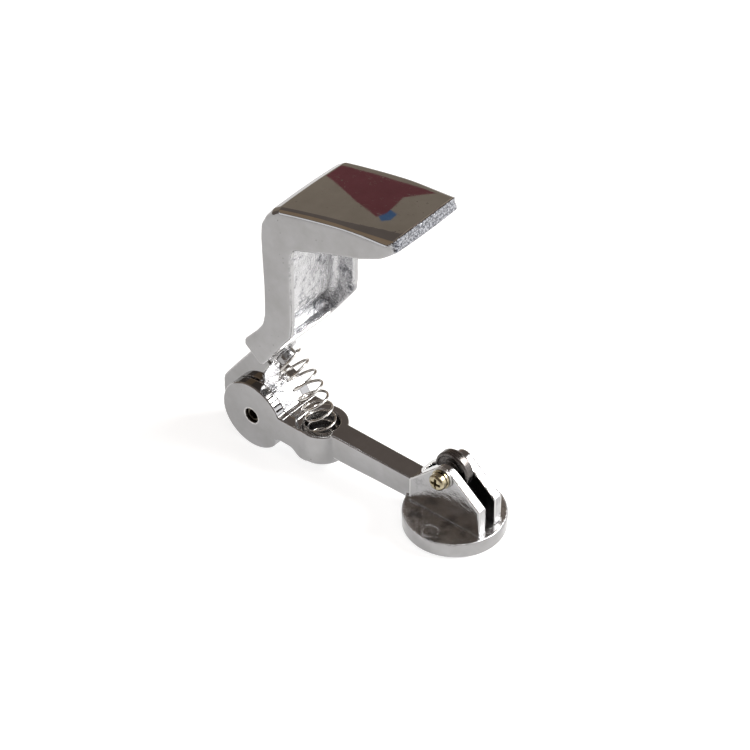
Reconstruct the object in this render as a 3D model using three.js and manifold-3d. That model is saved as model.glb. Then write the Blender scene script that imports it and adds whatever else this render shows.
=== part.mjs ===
// Spring-loaded lever arm: a flat arm with a round foot and a forked knuckle, a hollow cranked lever hinged
// in the knuckle on a slotted roll pin, a compression spring that pushes the lever open, and a small roller
// that turns on a screw between two ears on the foot. Millimetres, +Z up, +X from the hinge to the foot.
// The origin is the middle of the foot's flat underside.
import * as THREE from "three";
import { mergeVertices } from "three/addons/utils/BufferGeometryUtils.js";
import Module from "manifold-3d";

const wasm = await Module();
wasm.setup();

// Foot
const FOOT_RADIUS = 12.7;
const FOOT_THICKNESS = 4.1;
const FOOT_EDGE = 0.6;

// Ears that carry the roller
const EAR_OUTER = 4.3; // half of the width over both ears
const EAR_INNER = 1.7; // half of the slot between them
const EAR_BACK = -10.6;
const EAR_FRONT = 10.5;
const EAR_TOP_RADIUS = 2.8; // about the roller's axis
const ROLLER_AXIS = { x: -0.4, z: 16.9 };
const EAR_FRONT_SHOULDER = 11.55; // height at which the front edge starts to slope back
const EAR_BACK_SHOULDER = { x: -7.9, low: 10.75, high: 13.35 };
const EAR_EDGE = 0.3;
const EAR_WEB = 2.4; // metal left behind the slot

// Bar between the foot and the spring cup
const BAR_TOP = 9.25;
const BAR_HALF_AT_CUP = 3.05;
const BAR_HALF_AT_FOOT = 2.8;
const BAR_UNDERSIDE_AT_CUP = 2.1;
const BAR_UNDERSIDE_AT_FOOT = 2.8;

// Spring cup
const CUP_X = -41.2;
const CUP_RADIUS = 6.5;
const CUP_BOTTOM_EDGE = { out: 1.2, half: 0.35 };
const CUP_TOP_EDGE = 0.25;
const POCKET_RADIUS = 4.35;
const POCKET_DEPTH = 7.0;

// Knuckle and hinge
const HINGE = { x: -58.8, z: 5.45 };
const KNUCKLE_RADIUS = 9.45;
const KNUCKLE_HALF = 6.4; // half of the width over both cheeks
const SLOT_HALF = 3.5; // half of the slot that takes the lug
const SLOT_END_RADIUS = 9.6; // swept about the hinge, at the blind end of the slot
const CHEEK_UNDERSIDE = 2.15;
const CHEEK_EDGE = 0.3;
// Where the disc meets the underside: degrees before level, then two places in front of the hinge
const CHEEK_SHOULDER = { before: 22, low: 7.6, drop: 0.6, high: 9.2 };
const SLOT_SWEEP = 89; // degrees either side of level that the slot's blind end turns through
const PIN_RADIUS = 1.98;
const PIN_BORE = 1.35;
const PIN_SLIT = 0.5;
const PIN_HALF_LENGTH = 5.6;
const PIN_HOLE_RADIUS = 2.02;

// Lever
const LUG_HALF = 3.2;
const LUG_RADIUS = 5.6;
const HEAD_HALF = 12.9; // half of the width at the leg
const HEAD_HALF_AT_NOSE = 11.8;
const LEG_X = -50;
const NOSE_X = -9.4;
// The long curve of the top: its centre, radius, and angles in degrees
const HEAD_TOP = { x: 25.2, z: -195, radius: 282.73, from: 97.03, to: 103.94 };
const HEAD_WALL = 2.1;
const HEAD_EDGE = 0.9;
const SEAT_RADIUS = 4.1;
const SEAT_THICKNESS = 1.4;
const SPIGOT_RADIUS = 2.5;
const SPIGOT_HEIGHT = 2.2;
const SPIGOT_CHAMFER = 0.4;
const SEAT_CHAMFER = 0.3;

// Spring, whose axis stands upright in the cup and then bends back in an arc to the lever's seat
const SPRING_RADIUS = 3.55; // to the middle of the wire
const WIRE_RADIUS = 0.34;
const SPRING_TURNS = 8.5;
const SPRING_END_GAP = 0.3;
const SPRING_BASE_X = CUP_X + 0.35;
const SPRING_UPRIGHT = 0.8;
const SPRING_ARC_RADIUS = 24.5;
const SPRING_ARC_ANGLE = (60 * Math.PI) / 180;
const WIRE_SIDES = 8;
const STEPS_PER_TURN = 14;

// Roller and its screw
const ROLLER_RADIUS = 4.8;
const ROLLER_HALF = 1.4;
const ROLLER_CHAMFER = 0.4;
const SCREW_RADIUS = 1.5;
const SCREW_HEAD_RADIUS = 2.2;
const SCREW_HEAD_HEIGHT = 1.9;
const SCREW_CROWN = { side: 0.5, shoulder: 0.82, drop: 0.35, flat: 0.55 }; // shares of height and radius
const SPRING_WASHER = { inner: 1.6, outer: 2.5, thickness: 0.7 };
const WASHER_SPLIT = { start: 0.2, wide: 0.4, lean: 0.4, reach: 4 }; // a slanting cut above the screw
const FLAT_WASHER = { inner: 1.65, outer: 2.8, thickness: 0.5 };
const RECESS = { long: 1.45, half: 0.32, depth: 1.1 }; // the cross in the screw's head
const TIP_PROUD = 0.6; // how far the screw's tip stands out of the far ear
const TIP_CHAMFER = 0.4;
const STACK_GAP = 0.02; // between pieces that touch
const RUNNING_FIT = 0.05;

const ROUND_SEGMENTS = 48;
const ARC_POINTS = 14;
const CUT_PAST = 1; // how far a cutting body runs past what it cuts

// ---------------------------------------------------------------- solids

function toSolid(geometry) {
  const bare = geometry.index ? geometry.toNonIndexed() : geometry.clone();
  const positions = new THREE.BufferGeometry().setAttribute("position", bare.getAttribute("position"));
  const merged = mergeVertices(positions, 1e-4);
  const mesh = new wasm.Mesh({
    numProp: 3,
    vertProperties: merged.attributes.position.array,
    triVerts: new Uint32Array(merged.index.array),
  });
  return new wasm.Manifold(mesh);
}

function toGeometry(solid) {
  const mesh = solid.getMesh();
  const geometry = new THREE.BufferGeometry();
  const positions = new Float32Array(mesh.vertProperties);
  geometry.setAttribute("position", new THREE.BufferAttribute(positions, 3));
  geometry.setIndex(new THREE.BufferAttribute(new Uint32Array(mesh.triVerts), 1));
  const flat = geometry.toNonIndexed();
  flat.computeVertexNormals();
  return flat;
}

const union = (first, ...rest) => rest.reduce((sum, next) => sum.add(next), first);
const cut = (body, ...tools) => tools.reduce((left, tool) => left.subtract(tool), body);

// An outline in the XZ plane, carried along Y from yLow to yHigh, with its rims rounded by edge. The width
// can be multiplied by a number that depends on x.
function plate(outline, yLow, yHigh, edge = 0, widthAt = null) {
  const shape = outline instanceof THREE.Shape ? outline : new THREE.Shape(outline);
  const geometry = new THREE.ExtrudeGeometry(shape, {
    depth: yHigh - yLow - 2 * edge,
    bevelEnabled: edge > 0,
    bevelThickness: edge,
    bevelSize: edge,
    bevelOffset: -edge,
    bevelSegments: 2,
    curveSegments: ARC_POINTS,
  });
  geometry.rotateX(Math.PI / 2).translate(0, yHigh - edge, 0);
  if (widthAt) {
    const position = geometry.getAttribute("position");
    for (let i = 0; i < position.count; i++) {
      position.setY(i, position.getY(i) * widthAt(position.getX(i)));
    }
  }
  return toSolid(geometry);
}

// An outline in the XY plane, carried up Z.
function slab(points, zLow, zHigh) {
  const geometry = new THREE.ExtrudeGeometry(new THREE.Shape(points), {
    depth: zHigh - zLow,
    bevelEnabled: false,
  });
  geometry.translate(0, 0, zLow);
  return toSolid(geometry);
}

// A profile of [radius, height] points turned about Z, then moved.
function turned(profile, x = 0, y = 0, z = 0) {
  const points = profile.map(([radius, height]) => new THREE.Vector2(radius, height));
  const geometry = new THREE.LatheGeometry(points, ROUND_SEGMENTS);
  return toSolid(geometry.rotateX(Math.PI / 2).translate(x, y, z));
}

// The same, turned about a line along Y; a height in the profile becomes a distance towards -Y.
function turnedAboutY(profile, x, z) {
  const points = profile.map(([radius, height]) => new THREE.Vector2(radius, height));
  const geometry = new THREE.LatheGeometry(points, ROUND_SEGMENTS);
  return toSolid(geometry.rotateX(Math.PI).translate(x, 0, z));
}

const rod = (radius, low, high) => [[0, low], [radius, low], [radius, high], [0, high]];
const ring = (inner, outer, low, high) => [
  [inner, low], [outer, low], [outer, high], [inner, high], [inner, low],
];

const at = (x, z) => new THREE.Vector2(x, z);

// Points along an arc about a centre, angles in degrees from +X towards +Z.
function arc(centre, radius, from, to, count = ARC_POINTS) {
  return Array.from({ length: count + 1 }, (_, step) => {
    const angle = ((from + ((to - from) * step) / count) * Math.PI) / 180;
    return at(centre.x + radius * Math.cos(angle), centre.z + radius * Math.sin(angle));
  });
}

// ---------------------------------------------------------------- arm

function foot() {
  return turned([
    [0, 0], [FOOT_RADIUS - FOOT_EDGE, 0], [FOOT_RADIUS, FOOT_EDGE],
    [FOOT_RADIUS, FOOT_THICKNESS - FOOT_EDGE / 2], [FOOT_RADIUS - FOOT_EDGE / 2, FOOT_THICKNESS],
    [0, FOOT_THICKNESS],
  ]);
}

function bar() {
  const outline = [
    at(CUP_X, -BAR_HALF_AT_CUP), at(EAR_BACK + CUT_PAST, -BAR_HALF_AT_FOOT),
    at(EAR_BACK + CUT_PAST, BAR_HALF_AT_FOOT), at(CUP_X, BAR_HALF_AT_CUP),
  ];
  const side = plate([
    at(CUP_X, BAR_UNDERSIDE_AT_CUP), at(EAR_BACK + CUT_PAST, BAR_UNDERSIDE_AT_FOOT),
    at(EAR_BACK + CUT_PAST, BAR_TOP), at(CUP_X, BAR_TOP),
  ], -CUP_RADIUS, CUP_RADIUS);
  return slab(outline, 0, BAR_TOP + CUT_PAST).intersect(side);
}

function ears() {
  const outline = [
    at(EAR_BACK, FOOT_THICKNESS - CUT_PAST), at(EAR_FRONT, FOOT_THICKNESS - CUT_PAST),
    at(EAR_FRONT, EAR_FRONT_SHOULDER), ...arc(ROLLER_AXIS, EAR_TOP_RADIUS, 44, 138, 8),
    at(EAR_BACK_SHOULDER.x, EAR_BACK_SHOULDER.high), at(EAR_BACK, EAR_BACK_SHOULDER.low),
  ];
  const slot = plate([
    at(EAR_BACK + EAR_WEB, FOOT_THICKNESS), at(EAR_FRONT + CUT_PAST, FOOT_THICKNESS),
    at(EAR_FRONT + CUT_PAST, ROLLER_AXIS.z + ROLLER_RADIUS + CUT_PAST),
    at(EAR_BACK + EAR_WEB, ROLLER_AXIS.z + ROLLER_RADIUS + CUT_PAST),
  ], -EAR_INNER, EAR_INNER);
  const both = plate(outline, -EAR_OUTER, EAR_OUTER, EAR_EDGE);
  const clearance = turnedAboutY(
    rod(SCREW_RADIUS + RUNNING_FIT, 0, EAR_OUTER + CUT_PAST), ROLLER_AXIS.x, ROLLER_AXIS.z);
  const threaded = turnedAboutY(
    rod(SCREW_RADIUS + RUNNING_FIT, -EAR_OUTER - CUT_PAST, RUNNING_FIT), ROLLER_AXIS.x, ROLLER_AXIS.z);
  return cut(both, slot, clearance, threaded);
}

function cup() {
  return turned([
    [0, 0], [CUP_RADIUS - CUP_BOTTOM_EDGE.out, 0],
    [CUP_RADIUS - CUP_BOTTOM_EDGE.half, CUP_BOTTOM_EDGE.half],
    [CUP_RADIUS, CUP_BOTTOM_EDGE.out], [CUP_RADIUS, BAR_TOP - CUP_TOP_EDGE],
    [CUP_RADIUS - CUP_TOP_EDGE, BAR_TOP], [0, BAR_TOP],
  ], CUP_X);
}

function knuckle() {
  const rise = Math.asin((BAR_TOP - HINGE.z) / KNUCKLE_RADIUS) * (180 / Math.PI);
  const dip = Math.asin((HINGE.z - CHEEK_UNDERSIDE) / KNUCKLE_RADIUS) * (180 / Math.PI);
  const outline = [
    ...arc(HINGE, KNUCKLE_RADIUS, rise, 360 - dip - CHEEK_SHOULDER.before, 2 * ARC_POINTS),
    at(HINGE.x + CHEEK_SHOULDER.low, CHEEK_UNDERSIDE - CHEEK_SHOULDER.drop),
    at(HINGE.x + CHEEK_SHOULDER.high, CHEEK_UNDERSIDE),
    at(CUP_X, CHEEK_UNDERSIDE), at(CUP_X, BAR_TOP),
  ];
  const body = plate(outline, -KNUCKLE_HALF, KNUCKLE_HALF, CHEEK_EDGE);
  const slotOutline = [
    ...arc(HINGE, SLOT_END_RADIUS, -SLOT_SWEEP, SLOT_SWEEP),
    at(HINGE.x - KNUCKLE_RADIUS - CUT_PAST, HINGE.z + SLOT_END_RADIUS),
    at(HINGE.x - KNUCKLE_RADIUS - CUT_PAST, HINGE.z - SLOT_END_RADIUS),
  ];
  return cut(body, plate(slotOutline, -SLOT_HALF, SLOT_HALF));
}

function armCasting() {
  const solid = union(foot(), bar(), ears(), cup(), knuckle());
  const pocket = turned(rod(POCKET_RADIUS, BAR_TOP - POCKET_DEPTH, BAR_TOP + CUT_PAST), CUP_X);
  const pinHole = turnedAboutY(
    rod(PIN_HOLE_RADIUS, -KNUCKLE_HALF - CUT_PAST, KNUCKLE_HALF + CUT_PAST), HINGE.x, HINGE.z);
  return cut(solid, pocket, pinHole);
}

// ---------------------------------------------------------------- lever

// Side outline of the head: a cranked leg that leans back at its foot, and a long nose that rises forwards.
const HEAD_OUTLINE = [
  at(-49.2, 30.2), at(-40.1, 43.0), at(-39.7, 46.5), at(-39.6, 66.8), at(-38.6, 69.1),
  at(-28.1, 72.8), at(-19.3, 75.6), at(-13.4, 78.1), at(-9.2, 81.4),
  ...arc(HEAD_TOP, HEAD_TOP.radius, HEAD_TOP.from, HEAD_TOP.to),
  at(-45.2, 78.1), at(-47.2, 75.8), at(-48.3, 73.0), at(-48.3, 69.6), at(-47.7, 54.8),
  at(-47.8, 46.6), at(-48.6, 43.2), at(-50.6, 40.3), at(-54.2, 36.2), at(-54.3, 34.7),
];

// Side outline of the lug: round the hinge's front, up to the head, and down a broad rounded heel.
const LUG_OUTLINE = [
  ...arc(HINGE, LUG_RADIUS, -118, 2, 10),
  at(-56.9, 12.6), at(-57.4, 17.0), at(-49.9, 31.2), at(-53.4, 35.6), at(-60.9, 23.2), at(-65.0, 17.9),
  at(-68.7, 13.0), at(-70.7, 10.2), at(-70.8, 5.4), at(-69.0, 1.4), at(-65.4, -0.6),
];

// The hollow of the head, open to the front and to the underside of the nose.
const CAVITY_OUTLINE = [
  at(-48.9, 34.6), at(-34, 34.6), at(-34, 66.5), at(-8.4, 66.5), at(-8.4, 80.6), at(-12.0, 81.0),
  at(-41.8, 74.9), at(-44.6, 73.0), at(-45.9, 69.6), at(-45.6, 54.8), at(-45.7, 46.0), at(-46.6, 41.9),
  at(-50.0, 36.6),
];

// The head's side walls draw together evenly towards the nose.
function headTaper(x) {
  return 1 - ((1 - HEAD_HALF_AT_NOSE / HEAD_HALF) * (x - LEG_X)) / (NOSE_X - LEG_X);
}

function head() {
  const shell = plate(HEAD_OUTLINE, -HEAD_HALF, HEAD_HALF, HEAD_EDGE, headTaper);
  const hollow = plate(CAVITY_OUTLINE, -HEAD_HALF + HEAD_WALL, HEAD_HALF - HEAD_WALL, 0, headTaper);
  return cut(shell, hollow);
}

// The spring's axis at a distance along it from the floor of the cup: a place and a backward tilt.
function springAxis(distance) {
  const tilt = Math.max(0, distance - SPRING_UPRIGHT) / SPRING_ARC_RADIUS;
  return {
    x: SPRING_BASE_X - SPRING_ARC_RADIUS * (1 - Math.cos(tilt)),
    z: BAR_TOP - POCKET_DEPTH + Math.min(distance, SPRING_UPRIGHT) + SPRING_ARC_RADIUS * Math.sin(tilt),
    tilt,
  };
}

const SPRING_LENGTH = SPRING_UPRIGHT + SPRING_ARC_RADIUS * SPRING_ARC_ANGLE;

// A round pad square to the end of the spring, with a spigot that keeps the last coil in place.
function springSeat() {
  const seat = springAxis(SPRING_LENGTH);
  const points = [
    [0, -SPIGOT_HEIGHT], [SPIGOT_RADIUS - SPIGOT_CHAMFER, -SPIGOT_HEIGHT],
    [SPIGOT_RADIUS, SPIGOT_CHAMFER - SPIGOT_HEIGHT], [SPIGOT_RADIUS, 0], [SEAT_RADIUS - SEAT_CHAMFER, 0],
    [SEAT_RADIUS, SEAT_CHAMFER], [SEAT_RADIUS, SEAT_THICKNESS], [0, SEAT_THICKNESS],
  ].map(([radius, height]) => new THREE.Vector2(radius, height));
  const geometry = new THREE.LatheGeometry(points, ROUND_SEGMENTS / 2);
  geometry.rotateX(Math.PI / 2).rotateY(-seat.tilt).translate(seat.x, 0, seat.z);
  return toSolid(geometry);
}

function leverCasting() {
  const bore = turnedAboutY(
    rod(PIN_RADIUS + RUNNING_FIT, -LUG_HALF - CUT_PAST, LUG_HALF + CUT_PAST), HINGE.x, HINGE.z);
  return cut(union(head(), plate(LUG_OUTLINE, -LUG_HALF, LUG_HALF), springSeat()), bore);
}

// ---------------------------------------------------------------- small pieces

// A rolled sheet pin: a tube with a lengthwise slit.
function hingeRollPin() {
  const section = ring(PIN_BORE, PIN_RADIUS, -PIN_HALF_LENGTH, PIN_HALF_LENGTH);
  const tube = turnedAboutY(section, HINGE.x, HINGE.z);
  const slit = plate([
    at(HINGE.x - PIN_SLIT / 2, HINGE.z), at(HINGE.x + PIN_SLIT / 2, HINGE.z),
    at(HINGE.x + PIN_SLIT / 2, HINGE.z + PIN_RADIUS + CUT_PAST),
    at(HINGE.x - PIN_SLIT / 2, HINGE.z + PIN_RADIUS + CUT_PAST),
  ], -PIN_HALF_LENGTH - CUT_PAST, PIN_HALF_LENGTH + CUT_PAST);
  return cut(tube, slit);
}

// The middle of the spring's wire: a helix wound round the bent axis, clear of the cup's floor and seat.
class BentHelix extends THREE.Curve {
  getPoint(t, target = new THREE.Vector3()) {
    const clear = WIRE_RADIUS + SPRING_END_GAP;
    const axis = springAxis(clear + t * (SPRING_LENGTH - 2 * clear));
    const turn = t * SPRING_TURNS * 2 * Math.PI;
    const across = SPRING_RADIUS * Math.cos(turn);
    return target.set(
      axis.x + across * Math.cos(axis.tilt),
      SPRING_RADIUS * Math.sin(turn),
      axis.z + across * Math.sin(axis.tilt),
    );
  }
}

function compressionSpring() {
  const section = new THREE.Shape(
    Array.from({ length: WIRE_SIDES }, (_, side) => {
      const angle = (side / WIRE_SIDES) * 2 * Math.PI;
      return new THREE.Vector2(WIRE_RADIUS * Math.cos(angle), WIRE_RADIUS * Math.sin(angle));
    }),
  );
  const geometry = new THREE.ExtrudeGeometry(section, {
    steps: Math.round(SPRING_TURNS * STEPS_PER_TURN),
    extrudePath: new BentHelix(),
    bevelEnabled: false,
  });
  return toSolid(geometry);
}

function rollerWheel() {
  const bore = SCREW_RADIUS + RUNNING_FIT;
  return turnedAboutY([
    [bore, -ROLLER_HALF], [ROLLER_RADIUS - ROLLER_CHAMFER, -ROLLER_HALF],
    [ROLLER_RADIUS, ROLLER_CHAMFER - ROLLER_HALF], [ROLLER_RADIUS, ROLLER_HALF - ROLLER_CHAMFER],
    [ROLLER_RADIUS - ROLLER_CHAMFER, ROLLER_HALF], [bore, ROLLER_HALF], [bore, -ROLLER_HALF],
  ], ROLLER_AXIS.x, ROLLER_AXIS.z);
}

const flatWasherLow = EAR_OUTER + STACK_GAP;
const flatWasherHigh = flatWasherLow + FLAT_WASHER.thickness;
const springWasherLow = flatWasherHigh + STACK_GAP;
const springWasherHigh = springWasherLow + SPRING_WASHER.thickness;
const screwHeadLow = springWasherHigh + STACK_GAP;

// A pan head on a plain shank, with a cross recess; its tip stands a little proud of the far ear.
function clevisScrew() {
  const headTop = screwHeadLow + SCREW_HEAD_HEIGHT;
  const tip = -EAR_OUTER - TIP_PROUD;
  const body = turnedAboutY([
    [0, tip], [SCREW_RADIUS - TIP_CHAMFER, tip], [SCREW_RADIUS, tip + TIP_CHAMFER],
    [SCREW_RADIUS, screwHeadLow], [SCREW_HEAD_RADIUS, screwHeadLow],
    [SCREW_HEAD_RADIUS, screwHeadLow + SCREW_HEAD_HEIGHT * SCREW_CROWN.side],
    [SCREW_HEAD_RADIUS * SCREW_CROWN.shoulder, headTop - SCREW_CROWN.drop],
    [SCREW_HEAD_RADIUS * SCREW_CROWN.flat, headTop], [0, headTop],
  ], ROLLER_AXIS.x, ROLLER_AXIS.z);
  const wing = (along, across) => plate([
    at(ROLLER_AXIS.x - along, ROLLER_AXIS.z - across), at(ROLLER_AXIS.x + along, ROLLER_AXIS.z - across),
    at(ROLLER_AXIS.x + along, ROLLER_AXIS.z + across), at(ROLLER_AXIS.x - along, ROLLER_AXIS.z + across),
  ], -headTop - CUT_PAST, -headTop + RECESS.depth);
  return cut(body, wing(RECESS.long, RECESS.half), wing(RECESS.half, RECESS.long));
}

function springWasher() {
  const section = ring(SPRING_WASHER.inner, SPRING_WASHER.outer, springWasherLow, springWasherHigh);
  const { start, wide, lean, reach } = WASHER_SPLIT;
  const split = plate([
    at(ROLLER_AXIS.x + start, ROLLER_AXIS.z), at(ROLLER_AXIS.x + start + wide, ROLLER_AXIS.z),
    at(ROLLER_AXIS.x + start + wide + lean, ROLLER_AXIS.z + reach),
    at(ROLLER_AXIS.x + start + lean, ROLLER_AXIS.z + reach),
  ], -springWasherHigh - CUT_PAST, -springWasherLow + CUT_PAST);
  return cut(turnedAboutY(section, ROLLER_AXIS.x, ROLLER_AXIS.z), split);
}

function flatWasher() {
  const section = ring(FLAT_WASHER.inner, FLAT_WASHER.outer, flatWasherLow, flatWasherHigh);
  return turnedAboutY(section, ROLLER_AXIS.x, ROLLER_AXIS.z);
}

// ---------------------------------------------------------------- assembly

const FINISHES = {
  chrome: { color: 0xc9cbce, roughness: 0.08, metalness: 1 },
  wire: { color: 0xd6d2cb, roughness: 0.2, metalness: 1 },
  steel: { color: 0xb4b6b8, roughness: 0.3, metalness: 1 },
  burnished: { color: 0x6e6864, roughness: 0.3, metalness: 1 },
  yellowZinc: { color: 0xc9b26a, roughness: 0.28, metalness: 1 },
};

function mesh(name, solid, finish) {
  const piece = new THREE.Mesh(toGeometry(solid), new THREE.MeshStandardMaterial(FINISHES[finish]));
  piece.name = name;
  return piece;
}

const assembly = new THREE.Group();
assembly.name = "spring_loaded_lever_arm";
assembly.add(
  mesh("arm_casting", armCasting(), "chrome"),
  mesh("lever_casting", leverCasting(), "chrome"),
  mesh("hinge_roll_pin", hingeRollPin(), "steel"),
  mesh("compression_spring", compressionSpring(), "wire"),
  mesh("roller_wheel", rollerWheel(), "burnished"),
  mesh("clevis_screw", clevisScrew(), "yellowZinc"),
  mesh("spring_washer", springWasher(), "yellowZinc"),
  mesh("flat_washer", flatWasher(), "steel"),
);

export default assembly;
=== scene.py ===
"""Spring-loaded lever arm: the finished look of its eight pieces, on a plain pale floor.

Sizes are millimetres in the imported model's own frame: the origin is the middle of the foot's flat underside,
+X runs from the hinge towards the foot, +Z is up and the screw's head is on the -Y side. Meshes are made in
metres.

The two castings and the screw are solids given by a distance field, because their rolled edges and fillets
flow into one another. The other pieces are profiles carried along a path, or turned.
"""

import logging
import math
from dataclasses import dataclass, field
from enum import Enum
from typing import Callable, Sequence

import bpy
import numpy as np
from mathutils import Matrix, Vector

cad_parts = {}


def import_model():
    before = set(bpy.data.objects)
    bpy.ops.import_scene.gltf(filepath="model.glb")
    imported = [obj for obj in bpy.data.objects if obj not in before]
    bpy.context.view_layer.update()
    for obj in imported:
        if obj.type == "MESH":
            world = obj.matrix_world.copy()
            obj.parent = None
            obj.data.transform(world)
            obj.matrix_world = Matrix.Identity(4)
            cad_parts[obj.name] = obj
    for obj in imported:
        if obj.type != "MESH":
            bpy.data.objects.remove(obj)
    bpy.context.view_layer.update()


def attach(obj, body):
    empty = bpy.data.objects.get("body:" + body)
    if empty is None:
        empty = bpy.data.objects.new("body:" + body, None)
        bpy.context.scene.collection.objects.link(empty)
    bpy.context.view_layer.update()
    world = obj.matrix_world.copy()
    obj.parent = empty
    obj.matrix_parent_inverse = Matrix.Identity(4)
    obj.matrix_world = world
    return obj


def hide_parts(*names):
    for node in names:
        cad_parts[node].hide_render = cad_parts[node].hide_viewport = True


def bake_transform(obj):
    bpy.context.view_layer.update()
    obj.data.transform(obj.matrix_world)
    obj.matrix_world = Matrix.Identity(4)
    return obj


Array = np.ndarray
Field = Callable[[Array, Array, Array], Array]
Corner = tuple[float, float, float]
Colour = tuple[float, float, float, float]
Input = bpy.types.NodeSocket | float | Colour

MM = 0.001
LOG = logging.getLogger("lever_arm")
CORNER_SHARE = 0.48  # the most of a side that one rounded corner takes
NEAR = 0.1  # how close to a face a vertex counts as on it


class Body(str, Enum):
    """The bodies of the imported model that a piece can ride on."""

    ARM = "arm"
    LEVER = "lever"
    ROLLER = "roller"


# ---------------------------------------------------------------- distance fields


def joined(first: Array, second: Array, radius: float = 0.0) -> Array:
    """The union of two solids, with a round fillet of the given radius where they meet.

    Within a radius of both surfaces the distance is the radius less the distance to the fillet's centre line.

    Args:
        first: Signed distances to one solid, negative inside.
        second: Signed distances to the other.
        radius: The fillet's radius.

    Returns:
        Signed distances to the union.
    """
    if radius <= 0:
        return np.minimum(first, second)
    corner = np.hypot(np.maximum(radius - first, 0), np.maximum(radius - second, 0))
    return np.maximum(radius, np.minimum(first, second)) - corner


def shared(first: Array, second: Array, radius: float | Array = 0.0) -> Array:
    """What two solids share, with the edge between their surfaces rounded to the given radius.

    Past the edge's centre line the distance is measured from that line, less the radius.

    Args:
        first: Signed distances to one solid, negative inside.
        second: Signed distances to the other.
        radius: The edge's radius.

    Returns:
        Signed distances to the shared part.
    """
    if np.all(np.asarray(radius) <= 0):
        return np.maximum(first, second)
    corner = np.hypot(np.maximum(first + radius, 0), np.maximum(second + radius, 0))
    return np.minimum(-radius, np.maximum(first, second)) + corner


def cut(body: Array, tool: Array, radius: float = 0.0) -> Array:
    """A solid less a tool, with the rim of the cut rounded to the given radius."""
    return shared(body, -tool, radius)


def eased(value: Array, low: float, high: float) -> Array:
    """Nought below low, one above high, and three t squared less two t cubed between them."""
    t = np.clip((value - low) / (high - low), 0, 1)
    return t * t * (3 - 2 * t)


def round_corners(corners: Sequence[Corner], steps: int = 5) -> Array:
    """An outline whose corners are rounded.

    A corner gives way to a parabola that leaves each side at the radius times the tangent of half the turn,
    and never further along than just under half the side.

    Args:
        corners: Each corner's x, z and radius.
        steps: Points on each rounded corner.

    Returns:
        The outline's points, one per row.
    """
    table = np.array(corners, float)
    tip, radius = table[:, :2], table[:, 2:]
    back, ahead = np.roll(tip, 1, axis=0) - tip, np.roll(tip, -1, axis=0) - tip
    back_length = np.linalg.norm(back, axis=1, keepdims=True)
    ahead_length = np.linalg.norm(ahead, axis=1, keepdims=True)
    back, ahead = back / back_length, ahead / ahead_length
    opening = np.arccos(np.clip((back * ahead).sum(axis=1, keepdims=True), -1, 1))
    reach = radius / np.maximum(np.tan(opening / 2), 1e-6)
    reach = np.minimum(reach, CORNER_SHARE * np.minimum(back_length, ahead_length))
    t = np.linspace(0, 1, steps)[None, :, None]
    start, end = (tip + back * reach)[:, None], (tip + ahead * reach)[:, None]
    curve = (1 - t) ** 2 * start + 2 * t * (1 - t) * tip[:, None] + t**2 * end
    return curve.reshape(-1, 2)


def arc_corners(x: float, z: float, radius: float, start: float, end: float, count: int) -> list[Corner]:
    """Corners on an arc about a point, from start to end in degrees, rounded so that they join smoothly."""
    angle = np.radians(np.linspace(start, end, count))
    return [(x + radius * math.cos(a), z + radius * math.sin(a), radius) for a in angle]


def outline_distance(points: Array, x: Array, z: Array) -> Array:
    """Signed distance to a closed outline.

    It is the least distance to a side, negative where a ray from the place crosses an odd number of sides.

    Args:
        points: The outline's points, one per row.
        x: Places across.
        z: Places up.

    Returns:
        The distances, in the shape that x and z share.
    """
    least = np.full(np.broadcast(x, z).shape, np.inf, np.float32)
    inside = np.zeros(least.shape, bool)
    for (ax, az), (bx, bz) in zip(points, np.roll(points, -1, axis=0)):
        side_x, side_z = bx - ax, bz - az
        length = side_x**2 + side_z**2
        if length < 1e-12:
            continue
        from_x, from_z = x - ax, z - az
        along = np.clip((from_x * side_x + from_z * side_z) / length, 0, 1)
        gap = (from_x - side_x * along) ** 2 + (from_z - side_z * along) ** 2
        least = np.minimum(least, gap)
        turn = (from_x * side_z - from_z * side_x) * (1 if side_z > 0 else -1)
        inside ^= ((az <= z) != (bz <= z)) & (turn < 0)
    return np.where(inside, -1, 1) * np.sqrt(least)


def cell_corner(grid: Array, offset: Sequence[int]) -> Array:
    """The values that a grid has at one corner of each of its cells."""
    return grid[tuple(slice(o, n - 1 + o) for o, n in zip(offset, grid.shape))]


def edge_faces(filled: Array, number: Array) -> Array:
    """A face for each edge of the grid that leaves or enters the solid, between the four cells round it.

    Args:
        filled: True at the grid's points inside the solid.
        number: The vertex number of each cell.

    Returns:
        Rows of four vertex numbers, wound so that they face outwards.
    """
    faces = []
    for axis in range(3):
        step_b, step_c = np.eye(3, dtype=int)[(axis + 1) % 3], np.eye(3, dtype=int)[(axis + 2) % 3]
        near, far = [slice(None)] * 3, [slice(None)] * 3
        near[axis], far[axis] = slice(0, -1), slice(1, None)
        leaving = filled[tuple(near)] & ~filled[tuple(far)]
        entering = ~filled[tuple(near)] & filled[tuple(far)]
        ring = (-step_b - step_c, -step_c, 0 * step_b, -step_b)
        for crossed, order in ((leaving, (0, 1, 2, 3)), (entering, (3, 2, 1, 0))):
            edge = np.argwhere(crossed)
            faces.append(np.stack([number[tuple((edge + ring[n]).T)] for n in order], axis=1))
    return np.concatenate(faces)


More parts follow.
